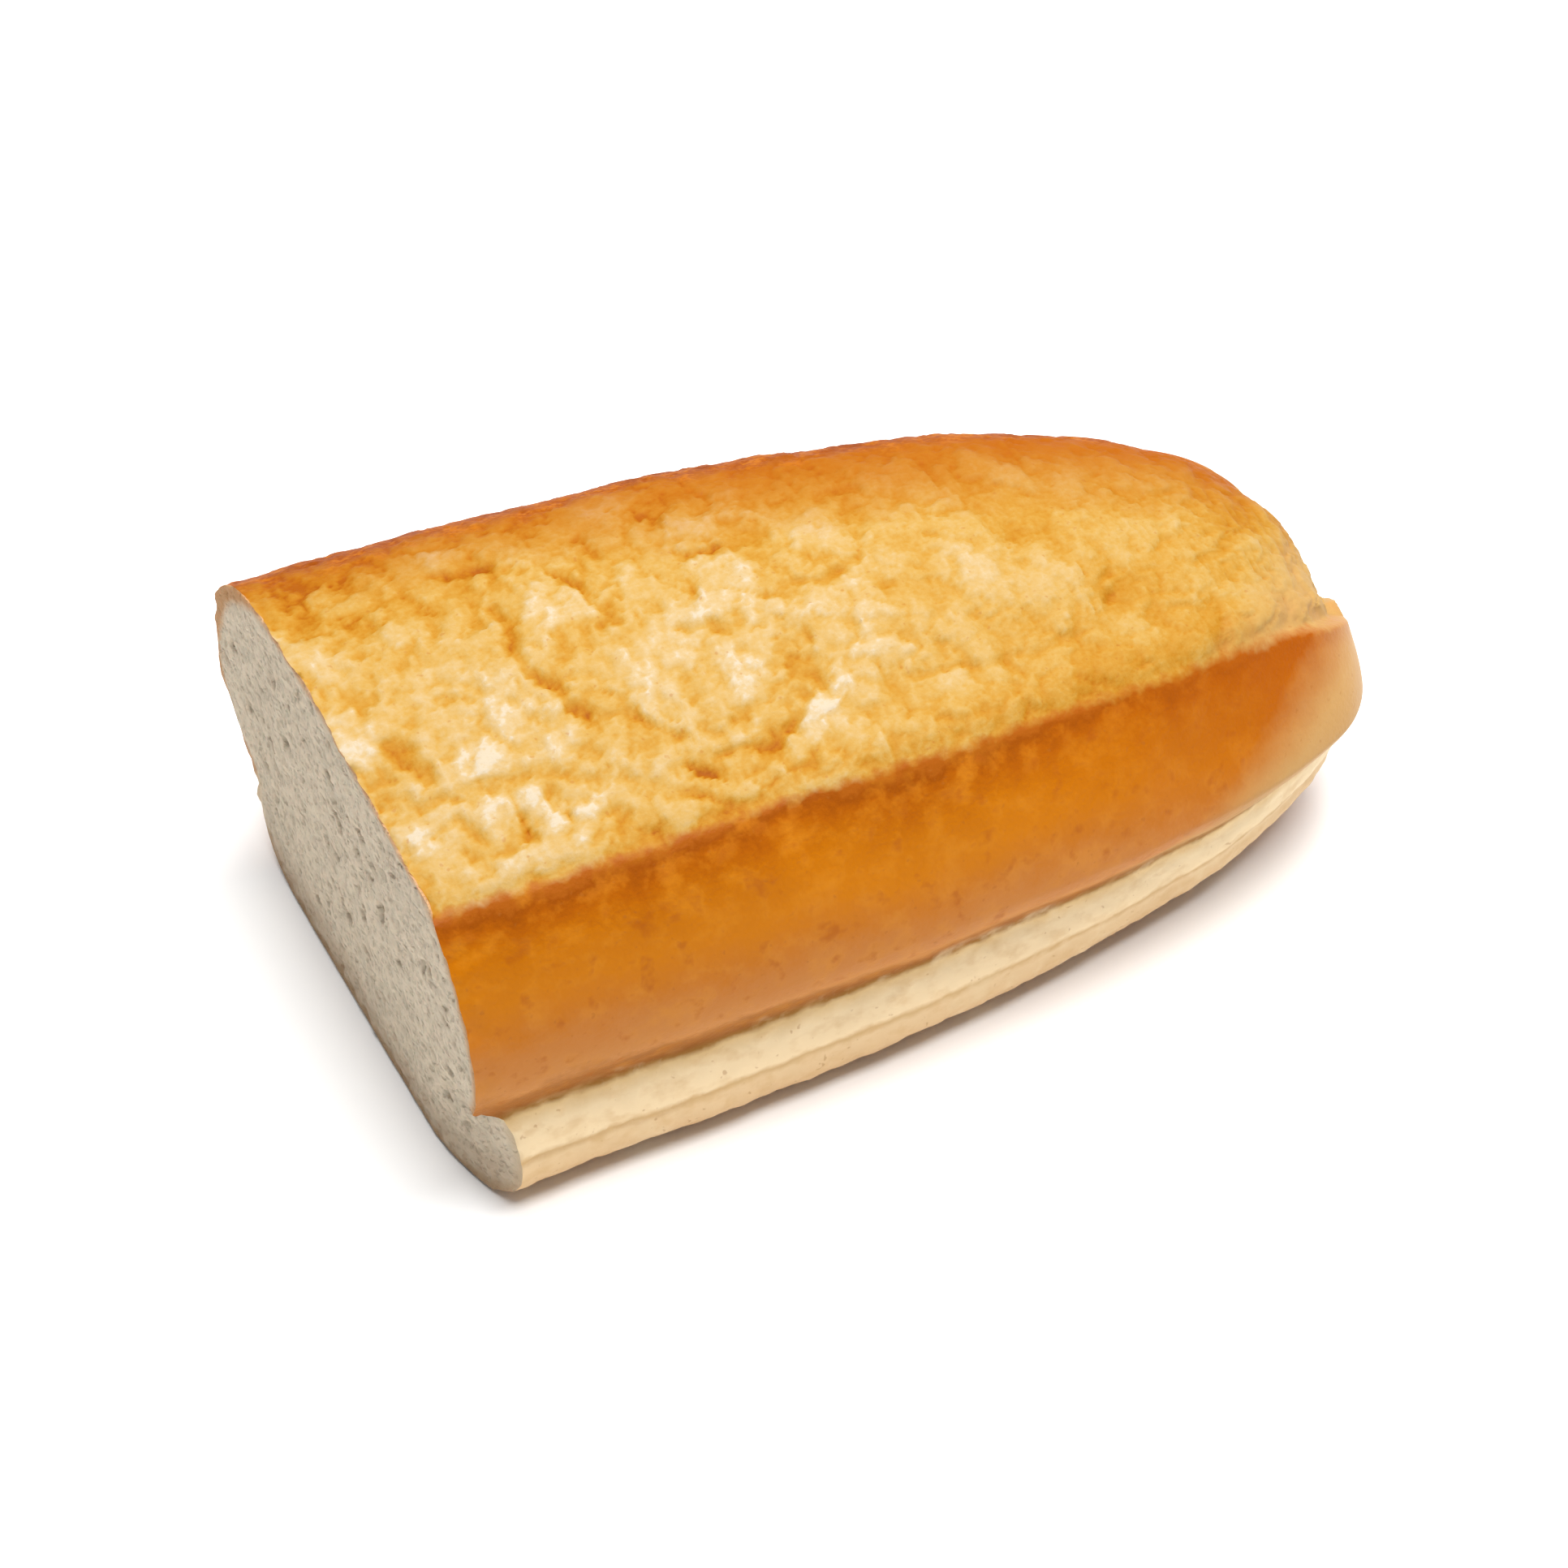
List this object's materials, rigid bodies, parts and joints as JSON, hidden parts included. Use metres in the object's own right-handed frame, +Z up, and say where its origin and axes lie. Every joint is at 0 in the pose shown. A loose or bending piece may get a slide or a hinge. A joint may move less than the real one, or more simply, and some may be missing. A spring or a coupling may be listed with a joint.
{
  "type": "half bread roll",
  "caption": "Half of a long crusty bread roll: flat cut face at one end, rounded end at the other, scored domed top, flat base to rest on.",
  "frame": {"origin": "middle of the bounding box's underside, on the plane that the flat base rests on", "axes": "+X from the cut face to the rounded end, along the roll; +Z up, out of the scored top; -Y towards the right flank, which overhangs the base most"},
  "size_m": [0.1218, 0.0714, 0.0452],
  "materials": {
    "baked_crust": "matte"
  },
  "bodies": {
    "root": {"bread_roll": "baked_crust"}
  },
  "joints": []
}
